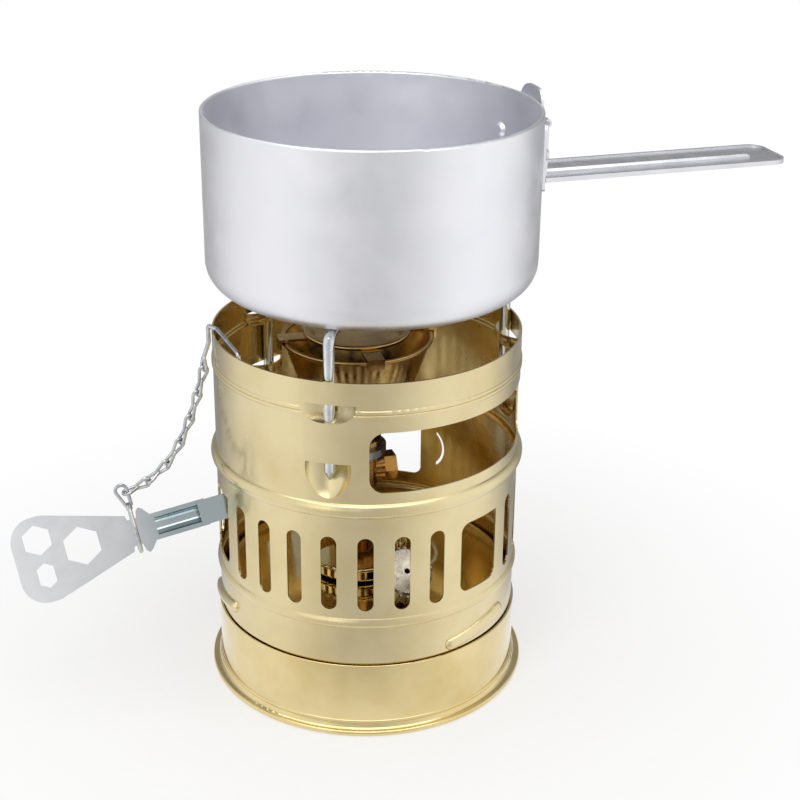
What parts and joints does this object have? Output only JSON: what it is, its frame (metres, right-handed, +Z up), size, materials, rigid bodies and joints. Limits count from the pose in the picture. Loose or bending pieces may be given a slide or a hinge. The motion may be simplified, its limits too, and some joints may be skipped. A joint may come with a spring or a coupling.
{
  "type": "kerosene pressure stove",
  "caption": "Compact brass kerosene pressure stove with a slotted windscreen, a valve key on a chain, swivelling wire pot supports and a small lidless pan with a folding handle.",
  "frame": {"origin": "centre of the foot ring on the ground", "axes": "+Z up along the stove axis, +X along the pan handle, the valve key points along -X"},
  "size_m": [0.2413, 0.1, 0.1826],
  "materials": {
    "tank_brass": "polished",
    "screen_brass": "satin, drawn sheet",
    "fitting_brass": "machined",
    "burner_brass": "spun, warm toned",
    "nickel": "nickel plated, satin",
    "grey_steel": "satin",
    "spindle_steel": "turned",
    "spring_steel": "drawn wire",
    "zinc_steel": "bright zinc plated sheet",
    "zinc_wire": "bright plated wire",
    "pan_aluminium": "satin, spun",
    "bracket_aluminium": "pressed",
    "cork_rubber": "matt",
    "valve_rubber": "matt",
    "graphite": "matt packing",
    "cotton": "twisted cotton"
  },
  "bodies": {
    "stove": {"tank_base": "tank_brass", "tank_shell": "tank_brass", "bayonet_studs": "tank_brass", "filler_neck": "fitting_brass", "priming_cup": "tank_brass", "stem_nut": "fitting_brass", "stem_tube": "fitting_brass", "wick": "cotton", "burner_body": "fitting_brass", "body_plug": "fitting_brass", "packing_nut": "fitting_brass", "spindle_packing": "graphite", "jet_ring": "grey_steel", "jet": "fitting_brass", "burner_bell": "burner_brass", "flame_spreader": "burner_brass", "windscreen": "screen_brass", "chain_hook": "zinc_wire", "chain_links": "zinc_wire", "key_loop": "zinc_wire"},
    "valve": {"valve_spindle": "spindle_steel", "stove_key": "zinc_steel"},
    "filler_seal": {"filler_gasket": "cork_rubber"},
    "filler_cap_unit": {"filler_cap": "nickel", "valve_cage": "fitting_brass", "safety_pip": "valve_rubber", "safety_spring": "spring_steel", "safety_retainer": "fitting_brass"},
    "pan_unit": {"pan": "pan_aluminium", "handle_bracket": "bracket_aluminium", "bracket_rivets": "pan_aluminium", "hinge_pin": "spring_steel"},
    "handle": {"pan_handle": "bracket_aluminium"},
    "support_1": {"pot_support_1": "zinc_wire"},
    "support_2": {"pot_support_2": "zinc_wire"},
    "support_3": {"pot_support_3": "zinc_wire"}
  },
  "joints": [
    {"name": "valve_turn", "type": "hinge", "parent": "stove", "child": "valve", "pos_m": [-0.0032, 0, 0.0662], "axis": [-0.9844, 0, -0.1759], "range_deg": [0, 270]},
    {"name": "filler_lift", "type": "slide", "parent": "stove", "child": "filler_seal", "axis": [0.0512, -0.5855, 0.809], "range_m": [0, 0.004]},
    {"name": "filler_turn", "type": "hinge", "parent": "filler_seal", "child": "filler_cap_unit", "pos_m": [0.00291, -0.03327, 0.0464], "axis": [0.0512, -0.5855, 0.809], "range_deg": [0, 720]},
    {"name": "pan_lift", "type": "slide", "parent": "stove", "child": "pan_unit", "axis": [0, 0, 1], "range_m": [0, 0.08]},
    {"name": "handle_fold", "type": "hinge", "parent": "pan_unit", "child": "handle", "pos_m": [0.05174, -0.00039, 0.1733], "axis": [0, -1, 0], "range_deg": [0, 180]},
    {"name": "support_1_swivel", "type": "hinge", "parent": "stove", "child": "support_1", "pos_m": [-0.02205, -0.03819, 0.11762], "axis": [0, 0, 1], "range_deg": [-70, 70]},
    {"name": "support_2_swivel", "type": "hinge", "parent": "stove", "child": "support_2", "pos_m": [0.0441, 0, 0.11762], "axis": [0, 0, 1], "range_deg": [-70, 70]},
    {"name": "support_3_swivel", "type": "hinge", "parent": "stove", "child": "support_3", "pos_m": [-0.02205, 0.03819, 0.11762], "axis": [0, 0, 1], "range_deg": [-70, 70]}
  ],
  "couplings": [
    {"joint": "filler_lift", "follows": "filler_turn", "m_per_rad": 0.00031831}
  ]
}
